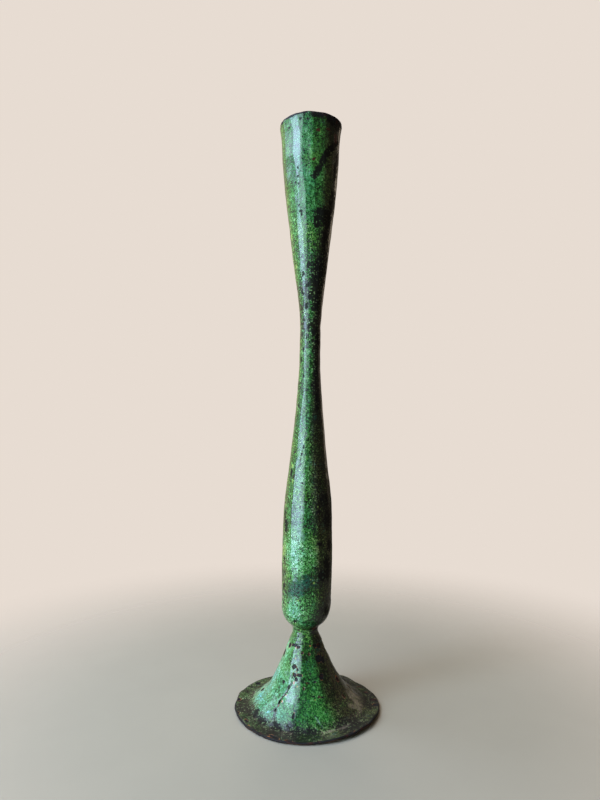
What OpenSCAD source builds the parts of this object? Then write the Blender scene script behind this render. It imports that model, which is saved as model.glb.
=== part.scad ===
// Tall candlestick raised from rolled and hammered sheet iron.
// The pieces are welded end to end: a flared hollow foot, a short solid neck, a round cap, a hollow
// tapering stem and a trumpet-shaped socket that holds a pressed candle cup.
// Millimetres, +Z up, origin at the centre of the circle that the foot rests on, front towards -Y.

/* [Overall] */
// Height from the table to the rim
height = 350; // [320:5:400]
// Diameter over the foot
foot_d = 85.5; // [80:0.5:100]
// Diameter over the mouth of the socket
mouth_d = 38.4; // [36:0.2:44]

/* [Stem] */
// Diameter at the waist, where the stem meets the socket
waist_d = 12.2; // [10:0.2:16]
// Diameter at the fullest part of the stem
body_d = 30; // [26:0.5:36]
// Height of the socket, from the waist to the rim
socket_h = 126; // [110:2:140]
// Thickness of the sheet that the stem and the socket are rolled from
stem_wall = 1.2; // [0.8:0.1:1.5]

/* [Foot] */
// Height of the foot, from the table to the weld under the neck
foot_h = 39; // [36:0.2:44]
// Diameter of the foot where it meets the neck
foot_top_d = 19.4; // [18:0.2:22]
// Width of the flat band that rests on the table
rest_band = 4; // [3:0.5:6]
// Thickness of the foot's sheet
foot_wall = 1.5; // [1.2:0.1:2]

/* [Neck] */
// Narrowest diameter of the neck
neck_d = 15; // [13.6:0.2:16]
// Height of the neck, from the weld to the cap
neck_h = 7.6; // [6:0.2:10]
// Height of the round cap that closes the stem
cap_h = 14.8; // [13:0.2:17]

/* [Candle cup] */
// Diameter of the candle
candle_d = 22; // [20:0.5:24]
// Clearance across the candle
candle_clearance = 1; // [0.5:0.1:1.2]
// Depth of the cup's straight bore
cup_depth = 30; // [20:1:36]
// Depth of the wax dish, from the rim to the top of the bore
dish_depth = 9; // [6:0.5:12]
// Thickness of the cup's sheet
cup_wall = 0.8; // [0.6:0.1:1]

/* [Hidden] */
$fn = 128;

patina_green = [0.20, 0.46, 0.28];
seam_green = [0.13, 0.30, 0.19];
dark_iron = [0.17, 0.15, 0.14];

// A ring weld fills a gap of this height between two shells, and stands this far proud of them.
ring_gap = 1.2;
ring_crown = 0.15;
ring_root = 0.5;
// The long welds fill a slit of this angle, and face this way, in degrees from +X.
foot_slit = 3;
foot_slit_at = 234;
tube_slit = 5;
stem_slit_at = 90;
socket_slit_at = 105;

// Levels of the joints, from the table up.
neck_z = foot_h + ring_gap;
cap_z = neck_z + neck_h;
seam_z = cap_z + cap_h;
waist_z = height - socket_h;
bore_top_z = height - dish_depth;

// The neck's outside: [share of its height, how far it stands outside the narrowest radius]. At its
// foot it is this much smaller than the piece below it.
neck_shape = [[0.35, 0.5], [0.62, 0], [1, 0.2]];
neck_foot_inset = 0.4;
// The neck's spigot stands in the cap's hole, with a gap all round for the braze.
spigot_step = 1;
spigot_h = 3;
braze_gap = 0.05;
// The braze reaches this far down the neck and this far up the cap.
neck_braze_down = 1.1;
neck_braze_up = 0.4;

// The cup's bore, the rounded lip around it, and the rise of the dish from the bore to the wall.
cup_r = (candle_d + candle_clearance) / 2;
dish_lip = 1;
dish_lip_rise = 0.2;
dish_rise = 2.4;
cup_braze_size = 1.2;

// How the stem swells from the waist down, and how the socket opens from the waist up:
// [share of the height, share of the growth in radius].
stem_swell = [
    [0, 0], [0.15, 0.045], [0.3, 0.235], [0.52, 0.64], [0.66, 0.92], [0.78, 0.995], [0.9, 1], [1, 0.96],
];
socket_swell = [[0, 0], [0.14, 0.1], [0.33, 0.335], [0.57, 0.625], [0.81, 0.85], [0.93, 0.9], [1, 1]];

// ---- curves ----

function last(list) = list[len(list) - 1];
function reversed(list) = [for (i = [len(list) - 1:-1:0]) list[i]];

// The direction of a curve at station i, across its neighbours. ends holds fixed directions or undef.
function heading(p, i, ends) =
    i == 0 ? (is_undef(ends[0]) ? unit(p[1] - p[0]) : ends[0])
    : i == len(p) - 1 ? (is_undef(ends[1]) ? unit(p[i] - p[i - 1]) : ends[1])
    : (p[i + 1] - p[i - 1]) / (norm(p[i + 1] - p[i]) + norm(p[i] - p[i - 1]));
function unit(v) = v / norm(v);

function hermite(a, b, ha, hb, t) = let (reach = norm(b - a))
    (2 * t ^ 3 - 3 * t ^ 2 + 1) * a + (t ^ 3 - 2 * t ^ 2 + t) * reach * ha
    + (3 * t ^ 2 - 2 * t ^ 3) * b + (t ^ 3 - t ^ 2) * reach * hb;

// A smooth curve through the stations p, in steps pieces between each two.
function curve(p, steps = 5, ends = [undef, undef]) = [
    for (i = [0:len(p) - 2]) for (k = [0:steps - 1])
        hermite(p[i], p[i + 1], heading(p, i, ends), heading(p, i + 1, ends), k / steps),
    last(p),
];

// The outward normal of an upward curve at point i.
function normal_at(c, i) =
    let (d = unit(c[min(i + 1, len(c) - 1)] - c[max(i - 1, 0)])) [d[1], -d[0]];

// How wide a sheet is at the end i of its outside c, where it is cut level.
function level_wall(c, i, wall) = wall / normal_at(c, i)[0];

// The inside of a sheet whose outside is c: its middle, its ends where they are cut level, and both.
function inside_middle(c, wall) = [for (i = [1:len(c) - 2]) c[i] - wall * normal_at(c, i)];
function inside_end(c, i, wall) = c[i] - [level_wall(c, i, wall), 0];
function inside(c, wall) =
    concat([inside_end(c, 0, wall)], inside_middle(c, wall), [inside_end(c, len(c) - 1, wall)]);

// Radius of an upward polyline at height z.
function radius_at(c, z) = lookup(z, [for (q = c) [q[1], q[0]]]);

// The points of a polyline that lie between two heights, with its exact points at both.
function stretch(c, z0, z1) = [
    [radius_at(c, z0), z0],
    for (q = c) if (q[1] > z0 + 0.001 && q[1] < z1 - 0.001) q,
    [radius_at(c, z1), z1],
];

// ---- outsides of the shells, from the bottom up ----

foot_r = foot_d / 2;
foot_flat_r = foot_r - rest_band;
foot_top_r = foot_top_d / 2;
foot_rise = foot_h - foot_wall;
foot_reach = foot_flat_r - foot_top_r;
// The foot's flare: [share of the way in from the flat band, share of the rise].
foot_flare = [[0, 0], [0.14, 0.025], [0.32, 0.115], [0.53, 0.27], [0.715, 0.5], [0.855, 0.74], [1, 1]];
foot_flare_curve = curve(
    [for (s = foot_flare) [foot_flat_r - s[0] * foot_reach, foot_wall + s[1] * foot_rise]],
    ends = [[-1, 0], undef]
);
foot_curve = concat([[foot_r, foot_wall]], foot_flare_curve);

neck_r = neck_d / 2;
spigot_r = neck_r - spigot_step;
neck_curve = curve(concat(
    [[foot_top_r - neck_foot_inset, neck_z]],
    [for (s = neck_shape) [neck_r + s[1], neck_z + s[0] * neck_h]]
));

waist_r = waist_d / 2;
body_r = body_d / 2;
stem_low_z = seam_z + ring_gap;
stem_top_z = waist_z - ring_gap / 2;
stem_curve = curve(reversed([
    for (s = stem_swell)
        [waist_r + s[1] * (body_r - waist_r), stem_top_z - s[0] * (stem_top_z - stem_low_z)],
]));

// The cap is a blunt dome: a superellipse from the weld down to the flat around its hole.
dome_bluntness = 2.6;
cap_top_r = stem_curve[0][0];
cap_flat_r = last(neck_curve)[0];
function dome_angle(r) = acos((r / cap_top_r) ^ (dome_bluntness / 2));
cap_steps = 16;
cap_curve = [
    for (k = [cap_steps:-1:0]) let (a = dome_angle(cap_flat_r) * k / cap_steps)
        [cap_top_r * cos(a) ^ (2 / dome_bluntness),
         seam_z - cap_h * (sin(a) / sin(dome_angle(cap_flat_r))) ^ (2 / dome_bluntness)],
];

mouth_r = mouth_d / 2;
socket_low_z = waist_z + ring_gap / 2;
socket_curve = curve([
    for (s = socket_swell)
        [waist_r + s[1] * (mouth_r - waist_r), socket_low_z + s[0] * (height - socket_low_z)],
]);

// ---- sections of the shells ----

foot_inside = concat(
    [[foot_r, 0], [foot_flat_r, 0]],
    inside_middle(foot_flare_curve, foot_wall),
    [inside_end(foot_curve, len(foot_curve) - 1, foot_wall)]
);
foot_section = concat(foot_curve, reversed(foot_inside));
stem_section = concat(stem_curve, reversed(inside(stem_curve, stem_wall)));
socket_inside = inside(socket_curve, stem_wall);
socket_section = concat(socket_curve, reversed(socket_inside));

// A shell that was rolled up: it has a slit of this angle, centred on the direction at.
module rolled(section, slit, at) {
    rotate(at + slit / 2) rotate_extrude(angle = 360 - slit) polygon(section);
}

// The long weld that fills a rolled shell's slit, dressed flush on both sides.
module long_weld(section, slit, at) {
    rotate(at - slit / 2) rotate_extrude(angle = slit) polygon(section);
}

// The weld between two shells that end at the points low and high, each of this wall.
module ring_weld(low, low_wall, high, high_wall) {
    middle = (low + high) / 2;
    wall = max(low_wall, high_wall);
    rotate_extrude() polygon([
        low, middle + [ring_crown, 0], high,
        high - [high_wall, 0], middle - [wall + ring_root, 0], low - [low_wall, 0],
    ]);
}

// ---- pieces, from the table up ----

module foot() {
    color(patina_green) rolled(foot_section, foot_slit, foot_slit_at);
}

module foot_seam_weld() {
    color(seam_green) long_weld(foot_section, foot_slit, foot_slit_at);
}

module foot_ring_weld() {
    color(seam_green) ring_weld(
        last(foot_curve), level_wall(foot_curve, len(foot_curve) - 1, foot_wall),
        neck_curve[0], level_wall(neck_curve, 0, foot_wall)
    );
}

// A short solid neck turned from bar, with a spigot that stands in the cap.
module neck() {
    spigot_top = cap_z + spigot_h;
    color(patina_green) rotate_extrude() polygon(concat(
        [[0, neck_z]],
        neck_curve,
        [[spigot_r, cap_z], [spigot_r, spigot_top], [0, spigot_top]]
    ));
}

// The fillet of braze in the corner between the neck and the cap.
module neck_braze() {
    on_neck = stretch(neck_curve, cap_z - neck_braze_down, cap_z);
    on_cap = stretch(cap_curve, cap_z, cap_z + neck_braze_up);
    color(seam_green) rotate_extrude() polygon(concat(on_neck, on_cap));
}

module stem_cap() {
    hole_r = spigot_r + braze_gap;
    color(patina_green) rotate_extrude() polygon(concat(
        [[hole_r, cap_z]],
        cap_curve,
        [inside_end(cap_curve, len(cap_curve) - 1, stem_wall)],
        reversed(inside_middle(cap_curve, stem_wall)),
        [[hole_r, cap_z + stem_wall]]
    ));
}

module cap_ring_weld() {
    color(seam_green) ring_weld(
        last(cap_curve), level_wall(cap_curve, len(cap_curve) - 1, stem_wall),
        stem_curve[0], level_wall(stem_curve, 0, stem_wall)
    );
}

module stem_tube() {
    color(patina_green) rolled(stem_section, tube_slit, stem_slit_at);
}

module stem_seam_weld() {
    color(seam_green) long_weld(stem_section, tube_slit, stem_slit_at);
}

module waist_ring_weld() {
    color(seam_green) ring_weld(
        last(stem_curve), level_wall(stem_curve, len(stem_curve) - 1, stem_wall),
        socket_curve[0], level_wall(socket_curve, 0, stem_wall)
    );
}

module socket_trumpet() {
    color(patina_green) rolled(socket_section, tube_slit, socket_slit_at);
}

module socket_seam_weld() {
    color(seam_green) long_weld(socket_section, tube_slit, socket_slit_at);
}

// A pressed cup with a straight bore, whose brim rises to the socket's wall as a wax dish.
module candle_cup() {
    outer_r = cup_r + cup_wall;
    floor_z = bore_top_z - cup_depth;
    brim_z = bore_top_z + dish_rise;
    color(dark_iron) rotate_extrude() polygon(concat(
        [[0, floor_z - cup_wall], [outer_r, floor_z - cup_wall], [outer_r, bore_top_z - cup_wall]],
        stretch(socket_inside, brim_z - cup_wall, brim_z),
        [[cup_r + dish_lip, bore_top_z + dish_lip_rise], [cup_r, bore_top_z], [cup_r, floor_z], [0, floor_z]]
    ));
}

// The fillet of braze between the cup's brim and the socket's wall.
module cup_braze() {
    brim_z = bore_top_z + dish_rise;
    wall_r = radius_at(socket_inside, brim_z);
    on_wall = stretch(socket_inside, brim_z, brim_z + cup_braze_size);
    brim_slope = (dish_rise - dish_lip_rise) / (wall_r - cup_r - dish_lip);
    color(dark_iron) rotate_extrude() polygon(concat(
        on_wall,
        [[wall_r - cup_braze_size, brim_z - brim_slope * cup_braze_size]]
    ));
}

foot();
foot_seam_weld();
foot_ring_weld();
neck();
neck_braze();
stem_cap();
cap_ring_weld();
stem_tube();
stem_seam_weld();
waist_ring_weld();
socket_trumpet();
socket_seam_weld();
candle_cup();
cup_braze();
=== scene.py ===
"""Looks for the welded sheet-iron candlestick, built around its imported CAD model.

Blender works in metres. The shapes below are worked out in millimetres, in the frame of the CAD model:
+Z up, origin on the table, front towards -Y. An azimuth is in degrees from the front, positive to +X.
"""

import math

import bpy
import numpy as np
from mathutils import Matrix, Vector


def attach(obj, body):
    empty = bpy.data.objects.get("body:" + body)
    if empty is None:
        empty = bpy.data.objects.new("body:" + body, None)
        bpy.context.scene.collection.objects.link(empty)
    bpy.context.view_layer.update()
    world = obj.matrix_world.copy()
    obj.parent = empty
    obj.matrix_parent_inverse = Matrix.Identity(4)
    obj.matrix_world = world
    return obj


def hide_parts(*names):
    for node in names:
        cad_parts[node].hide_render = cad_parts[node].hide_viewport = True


MM = 0.001
# Two corners of an outline this close together are one corner.
SNAP = 0.002
# Edges shorter than this are left out of an outline.
SHORTEST_CUT, SHORTEST_STEP = 1e-4, 0.05
# Where an outline is taken: this far beside the middle of a node's arc, or here if it goes all round.
BESIDE_MIDDLE, FULL_TURN_CUT = 0.11, 71.3

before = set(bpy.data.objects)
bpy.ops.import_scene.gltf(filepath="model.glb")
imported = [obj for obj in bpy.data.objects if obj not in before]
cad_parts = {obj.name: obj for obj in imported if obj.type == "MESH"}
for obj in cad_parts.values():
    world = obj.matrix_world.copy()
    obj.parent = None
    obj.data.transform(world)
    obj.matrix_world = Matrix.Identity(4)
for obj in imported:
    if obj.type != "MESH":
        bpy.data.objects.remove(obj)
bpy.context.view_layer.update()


# ---- outlines taken from the CAD nodes ----


def node_points(node):
    """A CAD node's vertices in millimetres."""
    return np.array([v.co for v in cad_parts[node].data.vertices]) / MM


def azimuth_of(points):
    """The azimuth of each point."""
    return np.degrees(np.arctan2(points[:, 0], -points[:, 1]))


def cut_triangle(triangle):
    """The (radius, height) pairs where a triangle, turned so that the half plane is y = 0, meets it."""
    hits = []
    for i in range(3):
        a, b = triangle[i], triangle[(i + 1) % 3]
        if (a[1] > 0) != (b[1] > 0):
            share = a[1] / (a[1] - b[1])
            hits.append(((a + share * (b - a))[[0, 2]]))
    return hits


def clipped(a, b):
    """The part of a segment with a radius of 0 or more, or None."""
    if a[0] < 0 and b[0] < 0:
        return None
    if a[0] < 0 or b[0] < 0:
        crossing = a + (b - a) * (a[0] / (a[0] - b[0]))
        crossing[0] = 0
        a, b = (crossing, b) if a[0] < 0 else (a, crossing)
    return a, b


def outline_of(node, azimuth):
    """The outline of a CAD node in the half plane at that azimuth, and whether it is closed.

    An outline is a list of (radius, height) that runs anticlockwise."""
    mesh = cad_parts[node].data
    mesh.calc_loop_triangles()
    turn = math.radians(azimuth)
    along = np.array([math.sin(turn), -math.cos(turn), 0])
    across = np.array([math.cos(turn), math.sin(turn), 0])
    points = node_points(node)
    turned = np.column_stack((points @ along, points @ across, points[:, 2]))
    triangles = np.array([t.vertices for t in mesh.loop_triangles])
    side = turned[triangles][:, :, 1] > 0
    crossing = triangles[side.any(1) & ~side.all(1)]
    ends = {}
    for triangle in turned[crossing]:
        part = clipped(*cut_triangle(triangle))
        if part is None or np.hypot(*(part[1] - part[0])) < SHORTEST_CUT:
            continue
        keys = [tuple(np.round(p / SNAP).astype(int)) for p in part]
        if keys[0] == keys[1]:
            continue
        for k in (0, 1):
            ends.setdefault(keys[k], []).append((keys[1 - k], part[k]))
    loose = [k for k, v in ends.items() if len(v) == 1]
    start = min(loose, key=lambda k: k[1]) if loose else min(ends)
    walk, previous, here = [start], None, start
    while True:
        onward = [k for k, _ in ends[here] if k != previous and (k == start or k not in walk[-3:])]
        if not onward or (onward[0] == start and len(walk) > 2):
            break
        previous, here = here, onward[0]
        walk.append(here)
    line = np.array([ends[k][0][1] for k in walk])
    closed = not loose
    ring = np.vstack((line, line[:1]))
    area = np.sum(ring[:-1, 0] * ring[1:, 1] - ring[1:, 0] * ring[:-1, 1])
    return (line if area > 0 else line[::-1]), closed


def resampled(line, closed, fine, coarse):
    """The outline with steps of about fine where it faces outwards or up, and coarse elsewhere."""
    ends = np.vstack((line, line[:1])) if closed else line
    kept = [ends[0]]
    for b in ends[1:]:
        if np.hypot(*(b - kept[-1])) > SHORTEST_STEP:
            kept.append(b)
    if closed and np.hypot(*(kept[-1] - kept[0])) > SNAP / 2:
        kept[-1] = kept[0]
    out = []
    for a, b in zip(kept[:-1], kept[1:]):
        length = np.hypot(*(b - a))
        normal = np.array([b[1] - a[1], a[0] - b[0]]) / length
        outwards, upwards = normal[0] > 0.05, normal[1] > 0.5
        step = fine if outwards or upwards else coarse
        count = max(1, round(length / step))
        out += [a + (b - a) * k / count for k in range(count)]
    if not closed:
        out.append(kept[-1])
    return np.array(out)


def softened(line, closed, where, rounds=3):
    """The outline with its corners rounded where the function where says so."""
    for _ in range(rounds):
        before, after = np.roll(line, 1, 0), np.roll(line, -1, 0)
        smooth = (before + 2 * line + after) / 4
        chosen = where(line[:, 0], line[:, 1])
        if not closed:
            chosen[[0, -1]] = False
        line = np.where(chosen[:, None], smooth, line)
    return line


# ---- fields over the surface ----


def ramp(x, low, high):
    """0 below low, 1 above high, and smooth between."""
    t = np.clip((x - low) / (high - low), 0, 1)
    return t * t * (3 - 2 * t)


def bell(x, middle, half):
    """1 at middle, 0 beyond half on either side."""
    return 1 - ramp(np.abs(x - middle), 0, half)


def turn_from(azimuth, middle):
    """The signed angle from middle to azimuth, in degrees."""
    return (azimuth - middle + 180) % 360 - 180


def lobe(azimuth, middle, half):
    """A bell round the axis: 1 at the azimuth middle, 0 beyond half on either side."""
    return bell(turn_from(azimuth, middle), 0, half)


def lobes(azimuth, table):
    """The sum of several lobes, each (middle, half, size)."""
    return sum(size * lobe(azimuth, middle, half) for middle, half, size in table)


def waves(points, length, seed, count=28):
    """Smooth noise of about unit strength, in lumps about length across. Each use has its own seed."""
    draw = np.random.RandomState(seed)
    heading = draw.normal(size=(count, 3))
    heading /= np.linalg.norm(heading, axis=1)[:, None]
    pace = 2 * math.pi / length * draw.uniform(0.7, 1.4, count)
    phase = draw.uniform(0, 2 * math.pi, count)
    total = np.zeros(len(points))
    for h, k, p in zip(heading, pace, phase):
        total += np.cos(points @ h * k + p)
    return total * math.sqrt(2 / count)


def facet_cut(azimuth, height, radius, facets, edge=0.03):
    """How far hammered flats cut into a round body. A flat is (azimuth, height, half length, depth)."""
    cut = np.zeros(len(height))
    for middle, level, half, depth in facets:
        near = np.abs(height - level) < half
        share = ((height[near] - level) / half) ** 2
        swing = np.radians(turn_from(azimuth[near], middle))
        fall = radius[near] * (1 - np.cos(np.clip(swing, -1.5, 1.5)))
        push = depth * (1 - share) - fall
        base = cut[near]
        blend = np.clip(0.5 + 0.5 * (push - base) / edge, 0, 1)
        cut[near] = base * (1 - blend) + push * blend + edge * blend * (1 - blend)
    return cut


def scattered_facets(low, high, spacing, columns, depth, seed):
    """Hammered flats laid out in staggered rows with some disorder."""
    draw = np.random.RandomState(seed)
    facets = []
    for row, level in enumerate(np.arange(low, high, spacing)):
        for column in range(columns):
            middle = (column + 0.5 * (row % 2)) * 360 / columns
            facets.append((
                middle + draw.uniform(-0.3, 0.3) * 360 / columns,
                level + draw.uniform(-0.4, 0.4) * spacing,
                spacing * draw.uniform(0.8, 1.7),
                depth * draw.uniform(0.35, 1.0),
            ))
    return facets


def spot_field(places, marks):
    """1 at the middle of the nearest mark, 0 at its edge, and down to -1 far away.

    A mark is (its middle, its direction across, its direction along, half width, half length)."""
    field = np.full(len(places), -1.0)
    for centre, across, along, half_w, half_l in marks:
        reach = 2.2 * max(half_w, half_l)
        near = np.abs(places - centre).max(1) < reach
        offset = places[near] - centre
        far = np.hypot(offset @ across / half_w, offset @ along / half_l)
        depth = np.abs(offset @ np.cross(across, along)) / max(half_w, half_l)
        field[near] = np.maximum(field[near], np.clip(1 - np.maximum(far, depth * 0.7), -1, 1))
    return field


# ---- how the real thing strays from the CAD model's true rounds ----

# How far the centre line leans to +X: (height, shift).
LEAN = [(0, 0), (12, -0.35), (35, -1.1), (47, -1.2), (62, -0.5), (100, 0), (150, 0.8), (200, 1.5), (224, 1.8),
        (240, 2.2), (352, 2.2)]


def lean(height):
    """How far the centre line is to +X at a height."""
    return np.interp(height, [p[0] for p in LEAN], [p[1] for p in LEAN])


# Hammered flats that show from the front: (azimuth, height, half length, depth).
SOCKET_FLATS = [
    (-29, 333, 17, 0.26), (-9, 330, 30, 0.40), (16, 330, 34, 0.5), (-50, 335, 24, 0.26),
    (41, 333, 26, 0.3), (-36, 302, 18, 0.16), (-22, 300, 20, 0.2), (2, 300, 20, 0.24),
    (-30, 272, 22, 0.16), (-8, 268, 20, 0.14), (18, 296, 30, 0.3), (20, 262, 20, 0.16),
]
STEM_FLATS = [
    (-27, 114, 44, 0.5), (8, 112, 52, 0.45), (-52, 110, 40, 0.22), (36, 118, 40, 0.32),
    (-24, 160, 26, 0.16), (8, 158, 24, 0.14), (-28, 78, 20, 0.14), (-58, 150, 24, 0.12),
]
FOOT_FLATS = [
    (-24, 24, 26, 0.26), (6, 22, 26, 0.34), (-52, 22, 24, 0.22), (36, 20, 22, 0.2), (-2, 12, 14, 0.2),
    (64, 20, 22, 0.3), (-80, 18, 22, 0.3), (100, 20, 24, 0.34), (140, 20, 24, 0.3), (178, 20, 24, 0.34),
    (-112, 20, 24, 0.34), (-146, 20, 24, 0.3),
]
FLATS = {
    "stem": STEM_FLATS
            + scattered_facets(70, 150, 19, 13, 0.2, 3)
            + scattered_facets(150, 232, 17, 10, 0.1, 4),
    "socket": SOCKET_FLATS
              + scattered_facets(292, 348, 17, 14, 0.22, 5)
              + scattered_facets(228, 292, 16, 12, 0.12, 6),
    "foot": FOOT_FLATS,
    "cap": scattered_facets(50, 64, 8, 12, 0.12, 8),
}
# The foot's flats blend more softly than the others.
FOOT_FLAT_EDGE = 0.14

# The long weld of the foot wanders: (height, turn in degrees).
WANDER = [(2, 0), (3.7, 0), (5.1, -2), (7.5, -5), (12, -5), (15.4, 1), (19.6, 7), (26, 10), (33, 4), (39, 0)]
FOOT_SEAM_AT = -36
WANDER_REACH = 40
# A pleat hammered into the flare: its azimuth, its lowest and highest level, and its lean.
PLEAT_AT, PLEAT_LOW, PLEAT_HIGH, PLEAT_LEAN = 7.5, 3.2, 7.4, 0.9
# Where the foot's cone bends into its flat brim.
CREASE_RADIUS = 34.6
# How the brim strays from a true circle, and how it lifts off the table: (azimuth, half width, size).
BRIM_BULGES = [(-25, 35, 0.7), (42, 40, -0.1), (125, 45, -0.2), (-130, 45, 0.7)]
BRIM_LIFTS = [(46, 56, 1.4), (-82, 40, 0.8), (160, 60, 0.5)]
# How the mouth dips: (azimuth, half width, size).
MOUTH_DIPS = [(-80, 70, -0.5), (70, 50, -0.3)]


def wandering(azimuth, height):
    """The foot's own azimuths, with the long weld's wander."""
    turn = np.interp(height, [p[0] for p in WANDER], [p[1] for p in WANDER])
    return azimuth + turn * lobe(azimuth, FOOT_SEAM_AT, WANDER_REACH)


def foot_shape(azimuth, true_azimuth, radius, height, places):
    """Displacement of the foot: along the surface's normal, along the radius, and upwards."""
    cone = 1 - ramp(radius, 27, 36)
    brim = ramp(radius, 33, 37)
    normal = -facet_cut(azimuth, height, radius, FLATS["foot"], FOOT_FLAT_EDGE) * cone
    normal += waves(places, 22, 31) * 0.14 + waves(places, 8, 32) * 0.05 + waves(places, 3.2, 33) * 0.018
    # The seam: a sunken line between two raised lips, from the chips down to the brim.
    seam = np.radians(turn_from(true_azimuth, FOOT_SEAM_AT)) * radius
    along_seam = ramp(height, 2.2, 4) * (1 - ramp(height, 21, 27))
    rough = 0.7 + 0.5 * waves(places, 2.2, 39)
    normal += along_seam * rough * (0.12 * bell(np.abs(seam), 1.2, 1.2) - 0.14 * bell(seam, 0, 0.9))
    # The pleat on the right of the front leans as it goes down, and smaller ones run round the flare.
    pleat = np.radians(turn_from(azimuth, PLEAT_AT)) * radius - PLEAT_LEAN * (PLEAT_HIGH - height)
    at_pleat = ramp(height, PLEAT_LOW - 1.5, PLEAT_LOW + 0.6)
    at_pleat *= 1 - ramp(height, PLEAT_HIGH - 1.5, PLEAT_HIGH + 1.5)
    normal += at_pleat * (0.16 * bell(pleat, 1.5, 1.9) - 0.26 * bell(pleat, -0.6, 1.6))
    turn = np.radians(azimuth)
    normal += 0.09 * np.cos(turn * 17 + 2 * np.sin(turn * 3)) * bell(radius, 31, 7)
    # The valley where the cone meets the flat brim, sharpest at the left of the front.
    crease = 0.15 + 0.85 * lobe(azimuth, -45, 80)
    normal -= crease * (0.42 + 0.12 * waves(places, 14, 35)) * bell(radius, CREASE_RADIUS, 3.4)
    normal += crease * 0.25 * bell(radius, 29, 4.5)
    # The brim's outline is not a true circle, and its right front lifts off the table.
    outward = lobes(azimuth, BRIM_BULGES) + 0.14 * waves(places, 16, 36) + 0.04 * waves(places, 6, 37)
    upward = ramp(radius, 31, 43) * lobes(azimuth, BRIM_LIFTS) + brim * (0.12 * waves(places, 12, 38) + 0.1)
    return normal, brim * outward, upward


def stem_shape(group, azimuth, radius, height, places):
    """Displacement of the stem, cap or socket: along the radius, and upwards."""
    outward = -facet_cut(azimuth, height, radius, FLATS[group])
    outward += waves(places, 34, 41) * 0.09 + waves(places, 11, 42) * 0.045 + waves(places, 4, 43) * 0.016
    upward = np.zeros(len(height))
    if group == "socket":
        # The rim is uneven: low at the left front, and with small nicks.
        upward += ramp(height, 322, 350) * (lobes(azimuth, MOUTH_DIPS) + 0.08 * waves(places, 9, 44))
        outward += ramp(height, 341, 350) * (0.04 * waves(places, 7, 45) - 0.35 * lobe(azimuth, -90, 50))
    return outward, upward


# ---- marks in the finish ----

# Dark blots on the stem, the neck and the socket, and painted shade under the cap: (azimuth, height, half
# width, half length, lean in degrees).
BLOTS_AND_SHADE = [
    (58, 334.6, 1.7, 4.2, 56), (44, 330.8, 1.9, 4.6, 54), (31, 326, 2.0, 4.0, 36), (24, 321.6, 1.7, 3.6, 30),
    (17, 317.4, 1.9, 3.4, 30), (9, 313.8, 1.9, 3.0, 34),
    (-29, 318.3, 0.7, 0.8, 0), (-30, 313.3, 0.6, 0.6, 0), (-36, 310.4, 0.7, 0.8, 0), (-28, 309, 0.5, 0.5, 0),
    (-30, 296.5, 0.9, 0.7, 0), (-27, 293, 1.0, 0.8, 0), (-24, 291, 0.6, 1.0, 0),
    (30, 291, 4.2, 5.0, 10), (50, 288, 3.4, 6.5, 0), (16, 286, 2.2, 2.4, 0), (44, 278, 2.6, 5.5, 0),
    (62, 300, 3.0, 8.0, 0), (66, 322, 2.2, 8.0, 10), (40, 346, 3.5, 1.6, 0), (12, 347.5, 4.0, 1.0, 0),
    (60, 345, 3.0, 2.4, 0), (-20, 346.4, 0.8, 0.6, 0), (-6, 345.6, 0.6, 0.9, 0), (-45, 343, 0.9, 0.6, 0),
    (24, 258, 3.6, 9.0, 0), (52, 262, 3.4, 12.0, 0), (-10, 262, 0.9, 1.6, 20), (-30, 257, 0.8, 1.4, 10),
    (-12, 250, 1.1, 1.0, 0), (-38, 246, 0.8, 1.2, 0), (-4, 243, 1.2, 1.2, 0), (-22, 238, 0.9, 1.8, 12),
    (8, 236, 1.0, 1.4, 0), (-34, 230, 0.9, 1.0, 0), (-8, 226, 0.9, 1.6, 8), (30, 240, 1.8, 8.0, 0),
    (-20, 219, 0.7, 1.2, 0), (14, 222, 1.2, 2.0, 0), (40, 218, 1.6, 7.0, 0), (-40, 212, 0.7, 1.4, 0),
    (0, 208, 0.8, 1.2, 0), (30, 200, 1.4, 6.0, 0), (-58, 206, 0.8, 2.4, 0), (-60, 190, 0.8, 1.6, 0),
    (-36, 196, 0.7, 1.0, 0), (12, 190, 1.0, 1.6, 0), (36, 180, 1.6, 5.0, 0), (-52, 178, 0.8, 1.0, 0),
    (-23, 150.5, 0.5, 2.2, 14), (-18, 154, 0.35, 1.0, 0), (-26, 146.8, 0.4, 1.0, 10),
    (-17, 133, 0.65, 0.65, 0),
    (-58, 138, 1.0, 2.4, 0), (-62, 108.5, 1.8, 4.4, 0), (-70, 114, 1.4, 3.0, 0), (45, 123, 3.2, 3.6, 0),
    (4, 120, 1.1, 0.9, 0), (24, 116, 1.3, 1.0, 0), (56, 112, 3.0, 6.0, 0), (34, 79.5, 2.8, 2.6, 0),
    (52, 84, 3.0, 7.0, 0), (20, 84.6, 0.9, 0.7, 0), (-64, 88, 0.9, 1.4, 0), (-60, 80, 0.8, 0.9, 0),
    (-66, 72, 1.0, 1.6, 0), (-56, 69, 0.8, 0.8, 0), (-70, 62, 0.9, 1.2, 0), (30, 98, 1.2, 1.2, 0),
    (60, 96, 2.4, 4.0, 0), (-30, 53.2, 1.0, 1.0, 0), (-28, 48.8, 0.9, 0.8, 0),
    (56, 58, 2.4, 3.0, 0), (-50, 55, 0.5, 0.6, 0),
    # The first three here are painted shade under the cap, where it meets the neck.
    (18, 47.4, 1.6, 0.5, 0), (44, 47.0, 2.0, 0.8, 0), (-4, 47.6, 1.0, 0.3, 0), (-32, 43.2, 0.5, 0.5, 0),
]
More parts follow.
